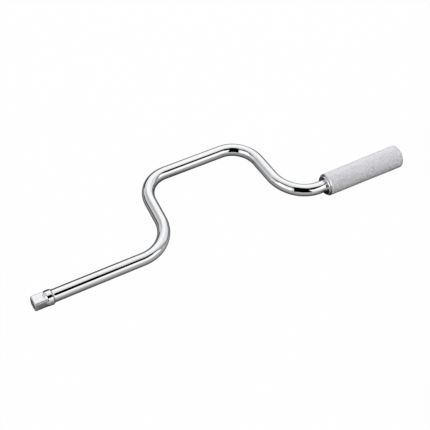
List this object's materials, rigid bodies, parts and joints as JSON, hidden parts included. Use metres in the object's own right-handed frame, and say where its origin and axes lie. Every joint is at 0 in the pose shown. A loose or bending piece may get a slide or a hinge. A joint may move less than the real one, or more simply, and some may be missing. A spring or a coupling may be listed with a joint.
{
  "type": "speed brace",
  "caption": "Cranked round bar with a square socket drive and spring detent ball at one end and a free-turning knurled grip at the other, for spinning sockets on and off.",
  "frame": {"origin": "centre of the flat face at the tip of the square drive", "axes": "+X along the drive axis from the drive to the grip, +Y towards the throw of the crank, +Z square to the crank's plane, which lies level"},
  "size_m": [0.4582, 0.1151, 0.027],
  "materials": {
    "polished_chrome": "mirror-polished chrome plate",
    "bush_chrome": "polished chrome plate",
    "cap_chrome": "polished chrome plate",
    "knurled_chrome": "satin chrome over a fine diamond knurl",
    "ball_steel": "ground bearing steel",
    "spring_steel": "blackened spring steel",
    "washer_steel": "ground steel",
    "bearing_bronze": "sintered bronze"
  },
  "bodies": {
    "crank": {"crank_bar": "polished_chrome", "detent_spring": "spring_steel", "shoulder_washer": "washer_steel", "end_washer": "washer_steel", "retaining_ring": "spring_steel"},
    "detent": {"detent_ball": "ball_steel"},
    "grip": {"grip_sleeve": "knurled_chrome", "front_bush": "bush_chrome", "rear_bush": "bearing_bronze", "end_cap": "cap_chrome"}
  },
  "joints": [
    {"name": "grip_spin", "type": "hinge", "parent": "crank", "child": "grip", "pos_m": [0.4, 0, 0], "axis": [1, 0, 0], "continuous": true},
    {"name": "detent_press", "type": "slide", "parent": "crank", "child": "detent", "axis": [0, -1, 0], "range_m": [0, 0.001], "stiffness_N_per_m": 3000, "springref_m": -0.002, "deforming": ["detent_spring"]}
  ]
}
